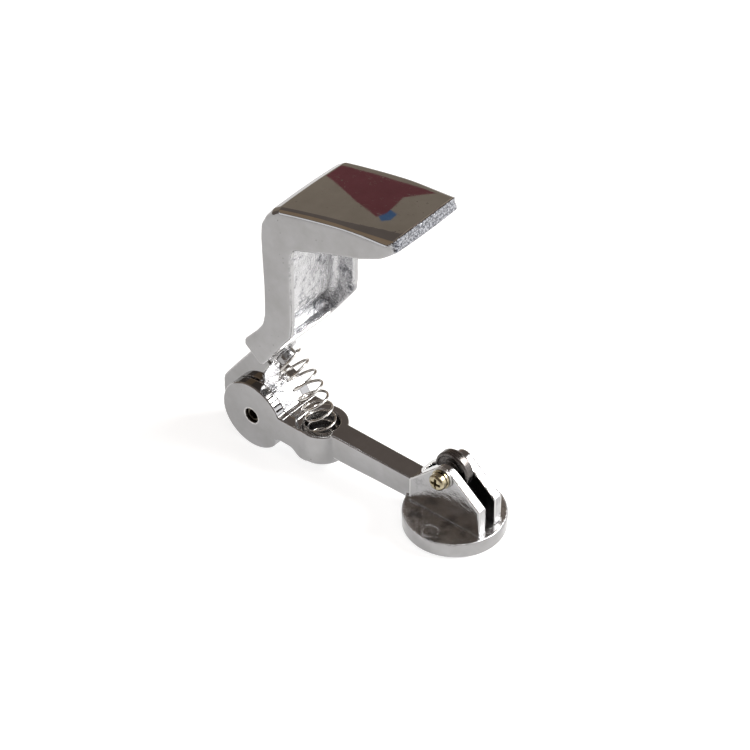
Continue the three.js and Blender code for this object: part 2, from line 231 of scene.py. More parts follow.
def surface_of(solid: Field, low: Sequence[float], high: Sequence[float], cell: float) -> tuple[Array, Array]:
    """The surface of a distance field as a closed mesh of four-sided faces.

    A cell whose corners aren't all inside or all outside gets one vertex, at the mean of the places where its
    edges cross the surface, and each crossed edge gets a face between the four cells round it.

    Args:
        solid: The field.
        low: The lowest corner of the space to search.
        high: Its highest corner.
        cell: The side of a cell.

    Returns:
        The vertices, and the faces as rows of four vertex numbers, wound so that they face outwards.
    """
    axes = [np.arange(a - 1.6 * cell, b + 2.4 * cell, cell, dtype=np.float32) for a, b in zip(low, high)]
    x, y, z = np.meshgrid(*axes, indexing="ij", sparse=True)
    shape = tuple(len(axis) for axis in axes)
    value = np.ascontiguousarray(np.broadcast_to(solid(x, y, z), shape), np.float32)
    filled = value < 0
    offsets = [(i, j, k) for i in (0, 1) for j in (0, 1) for k in (0, 1)]
    count = sum(cell_corner(filled, o).astype(np.uint8) for o in offsets)
    active = (count > 0) & (count < 8)
    number = np.full(active.shape, -1, np.int64)
    number[active] = np.arange(int(active.sum()))
    place = np.argwhere(active)
    corner = {o: cell_corner(value, o)[active] for o in offsets}
    total, crossings = np.zeros(place.shape), np.zeros(len(place))
    for start in offsets:
        for axis in range(3):
            if start[axis]:
                continue
            end = tuple(s + (n == axis) for n, s in enumerate(start))
            crossed = (corner[start] < 0) != (corner[end] < 0)
            span = np.where(crossed, corner[start] - corner[end], 1)
            share = np.where(crossed, corner[start] / span, 0)
            point = np.array(start, float)[None] + share[:, None] * np.eye(3)[axis][None]
            total += np.where(crossed[:, None], point, 0)
            crossings += crossed
    origin = np.array([axis[0] for axis in axes], float)
    vertices = origin + (place + total / crossings[:, None]) * cell
    return vertices, edge_faces(filled, number)


def slope_of(solid: Field, points: Array, reach: float = 0.02) -> tuple[Array, Array]:
    """The field and its slope at some points, from four probes at the corners of a small tetrahedron.

    Args:
        solid: The field.
        points: The points, one per row.
        reach: How far out the probes are.

    Returns:
        The mean of the probes, and the slope, one row per point.
    """
    probes = np.array([(1, -1, -1), (-1, -1, 1), (-1, 1, -1), (1, 1, 1)], float)
    values = np.stack([solid(*(points + reach * probe).T) for probe in probes])
    return values.mean(axis=0), (values.T @ probes) / (4 * reach)


def settle(solid: Field, vertices: Array, cell: float, steps: int = 3) -> tuple[Array, Array]:
    """Vertices moved onto a field's surface along its slope, a limited way at a time, and their normals.

    Args:
        solid: The field.
        vertices: One row per vertex, near the surface.
        cell: The side of the cells that the vertices came from.
        steps: How many times they move.

    Returns:
        The moved vertices and their outward normals.
    """
    furthest, least_steep = 0.4 * cell, 0.3
    for _ in range(steps):
        value, slope = slope_of(solid, vertices)
        steep = np.maximum((slope**2).sum(axis=1), least_steep)
        vertices = vertices - slope * np.clip(value / steep, -furthest, furthest)[:, None]
    _, slope = slope_of(solid, vertices)
    normals = slope / np.maximum(np.linalg.norm(slope, axis=1, keepdims=True), 1e-9)
    return vertices, normals


# ---------------------------------------------------------------- meshes


def make_object(
    name: str, vertices: Array, faces: Array | list, normals: Array | None = None
) -> bpy.types.Object:
    """A smooth mesh object at the origin, from vertices in millimetres.

    Args:
        name: The piece's name.
        vertices: One row per vertex.
        faces: Rows of vertex numbers.
        normals: The outward normal at each vertex, or nothing to have them from the faces.

    Returns:
        The new object, linked to the scene.
    """
    mesh = bpy.data.meshes.new(name)
    rows = faces.tolist() if isinstance(faces, np.ndarray) else faces
    mesh.from_pydata((vertices * MM).tolist(), [], rows)
    mesh.validate()
    mesh.polygons.foreach_set("use_smooth", np.ones(len(mesh.polygons), bool))
    mesh.update()
    if normals is not None and len(mesh.vertices) == len(normals):
        mesh.normals_split_custom_set_from_vertices(normals.tolist())
    piece = bpy.data.objects.new(name, mesh)
    bpy.context.scene.collection.objects.link(piece)
    return piece


def set_attribute(piece: bpy.types.Object, name: str, values: Array) -> None:
    """Stores one number per vertex under a name that a finish can read."""
    attribute = piece.data.attributes.new(name, "FLOAT", "POINT")
    attribute.data.foreach_set("value", np.ascontiguousarray(values, np.float32))


def sheet_faces(rows: int, columns: int, loop_rows: bool, loop_columns: bool) -> Array:
    """Faces between neighbours on a grid of vertices, which may close on itself either way.

    Args:
        rows: Vertices down the grid.
        columns: Vertices across it.
        loop_rows: True where the last row joins the first.
        loop_columns: True where the last column joins the first.

    Returns:
        Rows of four vertex numbers.
    """
    row = np.arange(rows if loop_rows else rows - 1)[:, None]
    column = np.arange(columns if loop_columns else columns - 1)[None, :]
    next_row, next_column = (row + 1) % rows, (column + 1) % columns
    corners = (
        row * columns + column,
        row * columns + next_column,
        next_row * columns + next_column,
        next_row * columns + column,
    )
    return np.stack([np.broadcast_to(c, np.broadcast(row, column).shape).ravel() for c in corners], axis=1)


def outward(vertices: Array, faces: list) -> list:
    """The faces, turned round if the volume that they enclose comes out negative."""
    triangles = np.array([(f[0], f[n], f[n + 1]) for f in faces for n in range(1, len(f) - 1)])
    a, b, c = (vertices[triangles[:, n]] for n in range(3))
    volume = (a * np.cross(b, c)).sum()
    return [tuple(reversed(f)) for f in faces] if volume < 0 else faces


def turned_ring(name: str, section: Array, x: float, z: float, segments: int = 96) -> bpy.types.Object:
    """A closed section turned about a line along Y, so that it makes a ring.

    A point of the section at a radius and height goes to the axis plus the radius round it, and to minus the
    height along Y.

    Args:
        name: The piece's name.
        section: Rows of radius and height.
        x: The axis's place across.
        z: The axis's place up.
        segments: Faces round the ring.

    Returns:
        The new object.
    """
    angle = np.linspace(0, 2 * math.pi, segments, endpoint=False)[:, None]
    radius, height = section[None, :, 0], section[None, :, 1]
    along = np.broadcast_to(-height, (segments, len(section)))
    grid = np.stack([x + radius * np.cos(angle), along, z + radius * np.sin(angle)], axis=-1)
    vertices = grid.reshape(-1, 3)
    faces = sheet_faces(segments, len(section), True, True).tolist()
    return make_object(name, vertices, outward(vertices, faces))


# ---------------------------------------------------------------- finishes


class Board:
    """A material's node tree, with short calls for what the finishes use."""

    def __init__(self, name: str) -> None:
        """Starts an empty tree with a shader and an output."""
        self.material = bpy.data.materials.new(name)
        self.material.use_nodes = True
        self.tree = self.material.node_tree
        self.tree.nodes.clear()
        self.shader = self.tree.nodes.new("ShaderNodeBsdfPrincipled")
        output = self.tree.nodes.new("ShaderNodeOutputMaterial")
        self.tree.links.new(self.shader.outputs["BSDF"], output.inputs["Surface"])
        self.place = self.tree.nodes.new("ShaderNodeTexCoord").outputs["Object"]

    def feed(self, socket: bpy.types.NodeSocket, value: Input) -> None:
        """Links a socket to another, or sets it to a plain value."""
        if isinstance(value, bpy.types.NodeSocket):
            self.tree.links.new(value, socket)
        else:
            socket.default_value = value

    def math(self, kind: str, first: Input, second: Input = 0.0, clamp: bool = False) -> bpy.types.NodeSocket:
        """The result of one sum on two values or sockets."""
        node = self.tree.nodes.new("ShaderNodeMath")
        node.operation, node.use_clamp = kind, clamp
        self.feed(node.inputs[0], first)
        self.feed(node.inputs[1], second)
        return node.outputs[0]

    def stretched(self, scale: Sequence[float], turn: Sequence[float] = (0, 0, 0)) -> bpy.types.NodeSocket:
        """The piece's own coordinates, turned and stretched."""
        node = self.tree.nodes.new("ShaderNodeMapping")
        self.feed(node.inputs["Vector"], self.place)
        node.inputs["Scale"].default_value = scale
        node.inputs["Rotation"].default_value = turn
        return node.outputs[0]

    def noise(
        self, scale: float, detail: float = 2.0, rough: float = 0.5, place: bpy.types.NodeSocket | None = None
    ) -> bpy.types.NodeSocket:
        """Soft noise with a given number of features per metre.

        Args:
            scale: Features per metre, or per unit of the place that is given.
            detail: How many finer layers are added.
            rough: How much each finer layer counts.
            place: The coordinates to use in place of the piece's own.

        Returns:
            A value about a half.
        """
        node = self.tree.nodes.new("ShaderNodeTexNoise")
        self.feed(node.inputs["Vector"], place or self.place)
        node.inputs["Scale"].default_value = scale
        node.inputs["Detail"].default_value = detail
        node.inputs["Roughness"].default_value = rough
        return node.outputs["Fac"]

    def cells(self, scale: float) -> bpy.types.NodeSocket:
        """Distance to the nearest of many scattered points."""
        node = self.tree.nodes.new("ShaderNodeTexVoronoi")
        self.feed(node.inputs["Vector"], self.place)
        node.inputs["Scale"].default_value = scale
        return node.outputs["Distance"]

    def ramp(
        self, value: Input, low: float, high: float, out_low: float = 0.0, out_high: float = 1.0
    ) -> bpy.types.NodeSocket:
        """A value carried from one range to another, and held at the ends.

        Args:
            value: The value.
            low: The start of its range.
            high: The end of its range.
            out_low: What the start becomes.
            out_high: What the end becomes.

        Returns:
            The new value.
        """
        node = self.tree.nodes.new("ShaderNodeMapRange")
        self.feed(node.inputs["Value"], value)
        node.inputs["From Min"].default_value = low
        node.inputs["From Max"].default_value = high
        node.inputs["To Min"].default_value = out_low
        node.inputs["To Max"].default_value = out_high
        return node.outputs[0]

    def scaled(self, value: Input, factor: Input) -> bpy.types.NodeSocket:
        """A value multiplied by another."""
        return self.math("MULTIPLY", value, factor)

    def tint(self, share: Input, first: Input, second: Input) -> bpy.types.NodeSocket:
        """A colour between two others."""
        node = self.tree.nodes.new("ShaderNodeMix")
        node.data_type = "RGBA"
        self.feed(node.inputs["Factor"], share)
        self.feed(node.inputs[6], first)
        self.feed(node.inputs[7], second)
        return node.outputs[2]

    def stored(self, name: str) -> bpy.types.NodeSocket:
        """The piece's own attribute of that name."""
        node = self.tree.nodes.new("ShaderNodeAttribute")
        node.attribute_name = name
        return node.outputs["Fac"]

    def bump(self, layers: Sequence[tuple[bpy.types.NodeSocket, float]]) -> None:
        """Relief from several heights, each with its depth in millimetres."""
        normal = None
        for height, depth in layers:
            node = self.tree.nodes.new("ShaderNodeBump")
            node.inputs["Distance"].default_value = depth * MM
            self.feed(node.inputs["Height"], height)
            if normal is not None:
                self.feed(node.inputs["Normal"], normal)
            normal = node.outputs[0]
        self.feed(self.shader.inputs["Normal"], normal)


@dataclass(frozen=True)
class ChromeFinish:
    """Bright plating over a zinc casting, left as cast where a piece says so with its raw attribute."""

    name: str
    polished: Colour = (0.345, 0.343, 0.345, 1)
    clouded: Colour = (0.27, 0.265, 0.26, 1)
    worn: Colour = (0.62, 0.61, 0.60, 1)
    cast: Colour = (0.58, 0.58, 0.59, 1)
    cast_shadow: Colour = (0.17, 0.175, 0.19, 1)
    grain_light: Colour = (0.42, 0.43, 0.46, 1)
    grain_dark: Colour = (0.07, 0.075, 0.09, 1)
    # the near black that the painted shade in the hinge holes and the spring pocket darkens towards
    painted_shade_colour: Colour = (0.03, 0.026, 0.022, 1)
    pit_dark: Colour = (0.08, 0.078, 0.075, 1)
    gloss: float = 0.015
    gloss_change: float = 0.03
    ripple: float = 0.008
    cast_depth: float = 0.22
    pit_depth: float = 0.02
    scratch_depth: float = 0.002

    def build(self) -> bpy.types.Material:
        """The finish as a material."""
        board = Board(self.name)
        raw = board.stored("raw")
        haze = board.noise(520, 4, 0.65)
        pit = board.ramp(board.cells(620), 0.05, 0.13, 1, 0)
        pit = board.scaled(pit, board.ramp(board.noise(230, 2), 0.56, 0.62))
        scratch = board.noise(1, 2, 0.6, board.stretched((260, 2600, 1500), (0.3, 0.5, 0.4)))
        scratch = board.ramp(scratch, 0.68, 0.74)
        board.feed(board.shader.inputs["Base Color"], self.colour(board, raw, haze, pit))
        board.shader.inputs["Metallic"].default_value = 1.0
        rough = board.ramp(haze, 0.3, 0.75, self.gloss, self.gloss + self.gloss_change)
        rough = board.math("ADD", rough, board.scaled(scratch, 0.12))
        rough = board.math("ADD", rough, board.scaled(pit, 0.25))
        rough = board.math("ADD", rough, board.scaled(raw, 0.17), clamp=True)
        board.feed(board.shader.inputs["Roughness"], rough)
        board.bump(
            [
                (board.noise(95, 1, 0.4), self.ripple),
                (board.noise(420, 2, 0.5), self.ripple * 0.12),
                (board.scaled(board.noise(330, 2, 0.5), raw), self.cast_depth * 2.2),
                (board.scaled(board.noise(1900, 4, 0.65), raw), self.cast_depth),
                (board.scaled(pit, -1.0), self.pit_depth),
                (board.scaled(scratch, -1.0), self.scratch_depth),
            ]
        )
        return board.material

    def colour(self, board: Board, raw: Input, haze: Input, pit: Input) -> bpy.types.NodeSocket:
        """The plating's colour: clouded, brighter on worn edges, mottled where cast, darkened by painted shade
        in the holes and the pocket, and dark in pits.

        Args:
            board: The material's node tree.
            raw: How much of the cast skin is left.
            haze: The fine unevenness of the plating.
            pit: One in the pits, nought elsewhere.

        Returns:
            The colour.
        """
        cloud = board.ramp(board.noise(160, 3, 0.6), 0.35, 0.7, 0, 0.5)
        colour = board.tint(cloud, self.polished, self.clouded)
        wear = board.math("ADD", board.stored("edge"), board.scaled(haze, 0.3))
        colour = board.tint(board.ramp(wear, 0.35, 0.8, 0, 0.75), colour, self.worn)
        blotch = board.ramp(board.noise(230, 5, 0.72), 0.53, 0.63)
        colour = board.tint(raw, colour, board.tint(blotch, self.cast, self.cast_shadow))
        speck = board.ramp(board.noise(1700, 3, 0.7), 0.42, 0.60)
        grain = board.tint(speck, self.grain_dark, self.grain_light)
        colour = board.tint(board.stored("gate"), colour, grain)
        # painted shade: the pin holes and the bottom of the pocket are darkened towards near black
        colour = board.tint(board.scaled(board.stored("painted_shade"), 0.9), colour, self.painted_shade_colour)
        return board.tint(board.scaled(pit, 0.7), colour, self.pit_dark)


@dataclass(frozen=True)
class MetalFinish:
    """A plain metal with a drawn or turned grain: wire, pin, roller or washer steel, or yellow zinc plate."""

    name: str
    light: Colour
    dark: Colour
    gloss: float = 0.2
    gloss_change: float = 0.14
    grain: tuple[float, float, float] = (300, 4000, 300)
    depth: float = 0.006

    def build(self) -> bpy.types.Material:
        """The finish as a material."""
        board = Board(self.name)
        stain = board.noise(700, 3, 0.6)
        grain = board.noise(1, 3, 0.6, board.stretched(self.grain))
        colour = board.tint(board.ramp(stain, 0.35, 0.7), self.light, self.dark)
        board.feed(board.shader.inputs["Base Color"], colour)
        board.shader.inputs["Metallic"].default_value = 1.0
        rough = board.ramp(grain, 0.3, 0.7, self.gloss, self.gloss + self.gloss_change)
        board.feed(board.shader.inputs["Roughness"], rough)
        board.bump([(grain, self.depth), (board.noise(1500, 3, 0.6), self.depth * 0.7)])
        return board.material


CHROME = ChromeFinish("chrome_casting")
ROLLER_STEEL = MetalFinish(
    "roller_steel", (0.13, 0.12, 0.115, 1), (0.06, 0.055, 0.053, 1), gloss=0.2, grain=(500, 5000, 500)
)
WIRE = MetalFinish(
    "spring_wire", (0.62, 0.60, 0.57, 1), (0.30, 0.28, 0.26, 1), gloss=0.08, grain=(2500, 2500, 400)
)
PIN_STEEL = MetalFinish(
    "pin_steel", (0.20, 0.175, 0.14, 1), (0.08, 0.07, 0.055, 1), gloss=0.26, grain=(3000, 300, 3000)
)
WASHER_STEEL = MetalFinish("washer_steel", (0.50, 0.49, 0.47, 1), (0.28, 0.27, 0.26, 1), gloss=0.22)
ZINC = MetalFinish(
    "screw_zinc", (0.44, 0.39, 0.27, 1), (0.20, 0.17, 0.11, 1), gloss=0.12, grain=(900, 900, 900)
)


def finish_piece(
    piece: bpy.types.Object, material: bpy.types.Material, body: Body, node: str
) -> None:
    """Dresses a piece, makes it ride on its body and stand for its node, and reports it.

    Args:
        piece: The piece.
        material: Its finish.
        body: The body that carries it.
        node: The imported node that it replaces.
    """
    piece.data.materials.clear()
    piece.data.materials.append(material)
    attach(piece, body.value)
    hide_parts(node)
    LOG.info("%s: %d vertices, %d faces", piece.name, len(piece.data.vertices), len(piece.data.polygons))


# ---------------------------------------------------------------- the arm


@dataclass
class ArmCasting:
    """Foot, ears, bar, spring cup and forked knuckle, cast in one piece."""

    cell: float = 0.31
    foot_radius: float = 12.7
    foot_thickness: float = 4.1
    foot_edge: float = 0.5
    ear_outer: float = 4.3
    ear_inner: float = 1.7
    ear_edge: float = 0.3
    ear_slot_back: float = -8.2
    roller_x: float = -0.4
    roller_z: float = 16.9
    ear_top_radius: float = 2.8
    screw_hole: float = 1.55
    bar_top: float = 9.25
    bar_half_at_cup: float = 3.05
    bar_half_at_foot: float = 2.8
    bar_under_at_cup: float = 2.1
    bar_under_at_foot: float = 2.8
    bar_end: float = -9.4
    cup_x: float = -41.2
    cup_radius: float = 6.5
    pocket_radius: float = 4.35
    pocket_floor: float = 2.25
    hinge_x: float = -58.8
    hinge_z: float = 5.45
    knuckle_radius: float = 9.43
    knuckle_half: float = 6.4
    slot_half: float = 3.5
    slot_end_radius: float = 9.6
    slot_overlap: float = 0.2
    slot_edge: float = 0.25
    knuckle_edge: float = 0.45
    cheek_underside: float = 2.15
    pin_hole: float = 2.02
    level_from: float = 7.5
    level_edge: float = 0.42
    foot_fillet: float = 0.9
    ring_x: float = 0.2
    ring_y: float = -10.1
    ring_radius: float = 2.0
    ring_half_width: float = 0.34
    ring_depth: float = 0.12
    ring_reach: float = 0.8
    ear_outline: Array = field(init=False)
    knuckle_outline: Array = field(init=False)

    def __post_init__(self) -> None:
        """Works out the two outlines from the sizes."""
        self.ear_outline = round_corners(
            [
                (-10.6, 2.1, 0.2),
                (10.5, 2.1, 0.2),
                (10.5, 11.55, 0.9),
                *arc_corners(self.roller_x, self.roller_z, self.ear_top_radius, 44, 138, 8),
                (-7.9, 13.35, 0.6),
                (-10.6, 10.75, 0.8),
            ]
        )
        rise = math.degrees(math.asin((self.bar_top - self.hinge_z) / self.knuckle_radius))
        dip = math.degrees(math.asin((self.hinge_z - self.cheek_underside) / self.knuckle_radius))
        self.knuckle_outline = round_corners(
            [
                *arc_corners(self.hinge_x, self.hinge_z, self.knuckle_radius, rise, 338 - dip, 40),
                (self.hinge_x + 7.6, self.cheek_underside - 0.6, 0.3),
                (self.hinge_x + 9.2, self.cheek_underside, 0.4),
                (self.cup_x - 4.7, self.cheek_underside - 0.1, 1.5),
                (self.cup_x - 3.3, self.cheek_underside - 1.3, 1.0),
                (self.cup_x - 2.2, 0.15, 0.8),
                (self.cup_x, 0.15, 0.0),
                (self.cup_x, self.bar_top, 0.0),
            ],
            3,
        )

    def foot(self, x: Array, y: Array, z: Array) -> Array:
        """A round plate: within its radius and its thickness, with rounded rims."""
        across = np.hypot(x, y) - self.foot_radius
        return shared(shared(across, z - self.foot_thickness, self.foot_edge), -z, self.foot_edge)

    def ears(self, x: Array, y: Array, z: Array) -> Array:
        """A side outline carried across, less the slot for the roller and the screw's hole."""
        both = shared(outline_distance(self.ear_outline, x, z), np.abs(y) - self.ear_outer, self.ear_edge)
        floor = self.foot_thickness - z
        slot = shared(shared(self.ear_slot_back - x, floor, 0.5), np.abs(y) - self.ear_inner, 0)
        hole = np.hypot(x - self.roller_x, z - self.roller_z) - self.screw_hole
        return cut(cut(both, slot, 0.22), hole + 0 * y, 0.12)

    def bar(self, x: Array, y: Array, z: Array) -> Array:
        """A bar, open above, whose half width and underside change evenly from the cup to the foot."""
        along = np.clip((x - self.cup_x) / (self.bar_end - self.cup_x), 0, 1)
        half = self.bar_half_at_cup + (self.bar_half_at_foot - self.bar_half_at_cup) * along
        under = self.bar_under_at_cup + (self.bar_under_at_foot - self.bar_under_at_cup) * along
        sides = np.abs(y) - half
        return shared(shared(shared(sides, under - z, 0.3), x - self.bar_end), self.cup_x - x)

    def cup(self, x: Array, y: Array, z: Array) -> Array:
        """An upright cylinder, open above, with a well rounded bottom."""
        return shared(np.hypot(x - self.cup_x, y) - self.cup_radius, -z, 1.3)

    def knuckle(self, x: Array, y: Array, z: Array) -> Array:
        """A side outline carried across, less a slot whose blind end is swept about the hinge."""
        outline = outline_distance(self.knuckle_outline, x, z)
        body = shared(outline, np.abs(y) - self.knuckle_half, self.knuckle_edge)
        about_hinge = np.hypot(x - self.hinge_x, z - self.hinge_z)
        between = np.abs(y) - self.slot_half
        blind_end = shared(about_hinge - self.slot_end_radius, x - self.hinge_x)
        open_end = x - self.hinge_x - self.slot_overlap
        return cut(body, shared(np.minimum(blind_end, open_end), between), self.slot_edge)

    def solid(self, x: Array, y: Array, z: Array) -> Array:
        """The whole casting as a distance field."""
        foot = joined(self.foot(x, y, z), self.ears(x, y, z), 0.45)
        bar = joined(self.bar(x, y, z), self.cup(x, y, z), 0.12)
        level = np.minimum(z - self.bar_top, x - (self.cup_x - self.level_from))
        arm = shared(joined(bar, self.knuckle(x, y, z), 0.1), level, self.level_edge)
        half = joined(foot, arm, self.foot_fillet)
        roller_room = shared(
            shared(self.ear_slot_back - x, self.foot_thickness - z, 0.5), np.abs(y) - self.ear_inner
        )
        whole = cut(half, roller_room, 0.15)
        pocket = shared(np.hypot(x - self.cup_x, y) - self.pocket_radius, self.pocket_floor - z, 0.5)
        whole = cut(whole, pocket, 0.4)
        pin = np.hypot(x - self.hinge_x, z - self.hinge_z) - self.pin_hole
        whole = cut(whole, pin + 0 * y, 0.08)
        return whole + self.ring_mark(x, y, z)

    def ring_mark(self, x: Array, y: Array, z: Array) -> Array:
        """The faint ring pressed into the foot: a depth that falls off like a bell curve either side."""
        off_ring = np.hypot(x - self.ring_x, y - self.ring_y) - self.ring_radius
        on_top = np.exp(-(((z - self.foot_thickness) / self.ring_reach) ** 2))
        return self.ring_depth * np.exp(-((off_ring / self.ring_half_width) ** 2)) * on_top

    def build(self) -> bpy.types.Object:
        """The casting as a mesh, with its raw and edge attributes."""
        low = (self.hinge_x - self.knuckle_radius, -self.foot_radius, self.hinge_z - self.knuckle_radius)
        high = (self.foot_radius, self.foot_radius, self.roller_z + self.ear_top_radius)
        vertices, faces = surface_of(self.solid, low, high, self.cell)
        vertices, normals = settle(self.solid, vertices, self.cell)
        piece = make_object("arm_casting_finished", vertices, faces, normals)
        edge = edge_wear(self.solid, vertices, normals)
        set_attribute(piece, "edge", edge)
        set_attribute(piece, "raw", self.rawness(vertices, normals) * (1 - 0.8 * edge))
        # painted shade: the pin's holes and the bottom of the pocket are darkened
        set_attribute(piece, "painted_shade", self.painted_shade(vertices))
        set_attribute(piece, "gate", np.zeros(len(vertices)))
        return piece

    def rawness(self, vertices: Array, normals: Array) -> Array:
        """How much of the cast skin is left: in the pocket, in the slots and under the bar."""
        x, y, z = vertices.T
        pocket = (np.hypot(x - self.cup_x, y) < self.pocket_radius + NEAR) & (z < self.bar_top - 0.4)
        slot = (np.abs(y) < self.slot_half + NEAR) & (x < self.cup_x - 5)
        above_foot = z > self.foot_thickness + 0.3
        ear_slot = (np.abs(y) < self.ear_inner + NEAR) & (x > self.ear_slot_back - NEAR)
        ear_slot &= z > self.foot_thickness - 0.2
        ear_front = eased(normals[:, 0], 0.5, 0.7) * (z > self.foot_thickness) * (x > 0)
        ear_side = (np.abs(y) > self.ear_outer - NEAR) * above_foot * (x > self.bar_end - 2)
        foot_top = eased(normals[:, 2], 0.6, 0.9) * ~above_foot * (x > self.bar_end - 4)
        underside = np.clip(-normals[:, 2], 0, 1)
        inside = np.where(pocket | slot, 0.7, 0.3 * ear_slot)
        outside = (0.35 * ear_front, 0.2 * ear_side, 0.6 * foot_top, 0.3 * underside)
        return np.maximum(inside, np.max(outside, axis=0))

    def painted_shade(self, vertices: Array) -> Array:
        """How much painted shade darkens the surface: most in the pin's holes, and more towards the bottom of
        the pocket.
        """
        x, y, z = vertices.T
        pin = np.hypot(x - self.hinge_x, z - self.hinge_z) < self.pin_hole + 0.12
        deep = eased(self.bar_top - z, 0.5, 5.0)
        pocket = (np.hypot(x - self.cup_x, y) < self.pocket_radius + NEAR) * deep
        return np.maximum(0.9 * pin, 0.5 * pocket)


def edge_wear(solid: Field, vertices: Array, normals: Array, depth: float = 0.5) -> Array:
    """How sharply the surface turns: how much nearer another face is than the depth of a probe under it."""
    probe = vertices - normals * depth
    return np.clip((solid(*probe.T) + depth) / depth * 2.0, 0, 1)


# ---------------------------------------------------------------- the lever


@dataclass
class LeverCasting:
    """Lug, spring seat, and the hollow cranked head with its long nose, cast in one piece."""

    cell: float = 0.37
    hinge_x: float = -58.8
    hinge_z: float = 5.45
    bore: float = 2.03
    lug_half: float = 3.2
    lug_radius: float = 5.6
    head_half: float = 12.9
    head_half_at_nose: float = 11.8
    leg_x: float = -50.0
    nose_x: float = -9.4
    top_arc: tuple[float, float, float, float, float] = (25.2, -195.0, 282.73, 97.03, 103.94)
    wall: float = 2.1
    rim: float = 0.9
    crown: float = 0.3
    brow_at_leg: float = 1.9
    brow_at_nose: float = 3.2
    brow_grows_from: float = -26.0
    brow_fades: tuple[float, float] = (1.5, 5.5)
    lug_top: float = 31.0
    seat_radius: float = 4.1
    seat_thickness: float = 1.4
    spigot_radius: float = 2.5
    spigot_height: float = 2.2
    seat_place: tuple[float, float] = (0.0, 0.0)
    seat_tilt: float = 0.0
    head_outline: Array = field(init=False)
    cavity_outline: Array = field(init=False)
    lug_outline: Array = field(init=False)

    def __post_init__(self) -> None:
        """Rounds the corners of the three side outlines."""
        self.head_outline = round_corners(
            [
                (-49.2, 30.2, 0.8), (-40.1, 43.0, 2.5), (-39.7, 46.5, 3.0), (-39.6, 66.8, 4.0),
                (-38.6, 69.1, 3.0), (-28.1, 72.8, 9.0), (-19.3, 75.6, 9.0), (-13.4, 78.3, 9.0),
                (-9.3, 81.65, 0.8), *self.top_curve(), (-45.2, 77.9, 3.0), (-47.0, 75.5, 3.0),
                (-48.1, 72.8, 3.0), (-48.2, 69.6, 6.0), (-47.7, 54.8, 30.0), (-47.8, 46.6, 8.0),
                (-48.6, 43.2, 6.0), (-50.6, 40.3, 6.0), (-54.2, 36.2, 0.8), (-54.3, 34.7, 0.8),
            ]
        )
        self.cavity_outline = round_corners(
            [
                (-48.9, 34.6, 0.5), (-34.0, 34.6, 0.0), (-34.0, 66.5, 0.0), (-8.4, 66.5, 0.0),
                (-8.4, 80.6, 0.5), (-12.0, 81.0, 1.5), (-41.8, 74.9, 3.0), (-44.6, 73.0, 3.0),
                (-45.9, 69.6, 5.0), (-45.6, 54.8, 20.0), (-45.7, 46.0, 6.0), (-46.6, 41.9, 5.0),
                (-50.0, 36.6, 1.5),
            ]
        )
        self.lug_outline = round_corners(
            [
                *arc_corners(self.hinge_x, self.hinge_z, self.lug_radius, -118, 2, 12),
                (-56.9, 12.6, 3.0), (-57.4, 17.0, 4.0), (-49.9, 31.2, 0.5), (-53.4, 35.6, 0.5),
                (-60.9, 23.2, 6.0), (-65.0, 17.9, 8.0), (-68.7, 13.0, 5.0), (-70.7, 10.2, 4.0),
                (-70.8, 5.4, 4.0), (-69.0, 1.4, 4.0), (-65.4, -0.6, 3.0),
            ]
        )

    def top_curve(self) -> list[tuple[float, float, float]]:
        """The long curve of the head's top, from the nose back to the leg, with its ends' own roundings."""
        centre_x, centre_z, radius, start, end = self.top_arc
        points = arc_corners(centre_x, centre_z, radius, start, end, 60)
        return [(*points[0][:2], 0.8), *points[1:-1], (*points[-1][:2], 5.0)]

    def narrowing(self, x: Array) -> Array:
        """The head's width as a share of its width at the leg, falling evenly towards the nose."""
        along = (x - self.leg_x) / (self.nose_x - self.leg_x)
        return 1 - (1 - self.head_half_at_nose / self.head_half) * along

    def hollow(self, x: Array, y: Array, z: Array) -> Array:
        """The head's hollow: its outline carried across within the side walls, with curved corners."""
        inner = (self.head_half - self.wall) * self.narrowing(x)
        return shared(outline_distance(self.cavity_outline, x, z), np.abs(y) - inner, 1.6)

    def head(self, x: Array, y: Array, z: Array) -> Array:
        """The head's outline carried across, crowned over the nose, with rolled rims, less its hollow.

        Both upper edges are rounded more broadly than the other rims, and more so towards the nose.
        """
        fall = self.crown * (y / self.head_half) ** 2 * eased(z, 66.0, 76.0)
        side = outline_distance(self.head_outline, x, z) + fall
        half = self.head_half * self.narrowing(x)
        centre_x, centre_z, radius = self.top_arc[:3]
        below_top = radius - np.hypot(x - centre_x, z - centre_z)
        upper = 1 - eased(below_top, *self.brow_fades)
        growth = eased(x, self.brow_grows_from, self.nose_x)
        brow = self.brow_at_leg + (self.brow_at_nose - self.brow_at_leg) * growth
        shell = shared(side, np.abs(y) - half, self.rim + (brow - self.rim) * upper)
        tip = shared(x - (self.nose_x + 0.1), np.abs(y) - half, 1.4)
        return cut(np.maximum(shell, tip), self.hollow(x, y, z), 0.5)

    def seat(self, x: Array, y: Array, z: Array) -> Array:
        """A round pad square to the end of the spring, with a spigot that keeps the last coil in place."""
        place_x, place_z = self.seat_place
        along = -(x - place_x) * math.sin(self.seat_tilt) + (z - place_z) * math.cos(self.seat_tilt)
        across = (x - place_x) * math.cos(self.seat_tilt) + (z - place_z) * math.sin(self.seat_tilt)
        radius = np.hypot(across, y)
        pad = shared(shared(radius - self.seat_radius, -along, 0.3), along - self.seat_thickness)
        spigot = shared(shared(radius - self.spigot_radius, -self.spigot_height - along, 0.5), along - 1.0)
        return np.minimum(pad, spigot)

    def solid(self, x: Array, y: Array, z: Array) -> Array:
        """The whole casting as a distance field."""
        lug = shared(outline_distance(self.lug_outline, x, z), np.abs(y) - self.lug_half, 0.35)
        lower = joined(lug, self.seat(x, y, z), 0.6)
        whole = joined(self.head(x, y, z), lower, 0.5)
        bore = np.hypot(x - self.hinge_x, z - self.hinge_z) - self.bore
        return cut(whole, bore + 0 * y, 0.15)

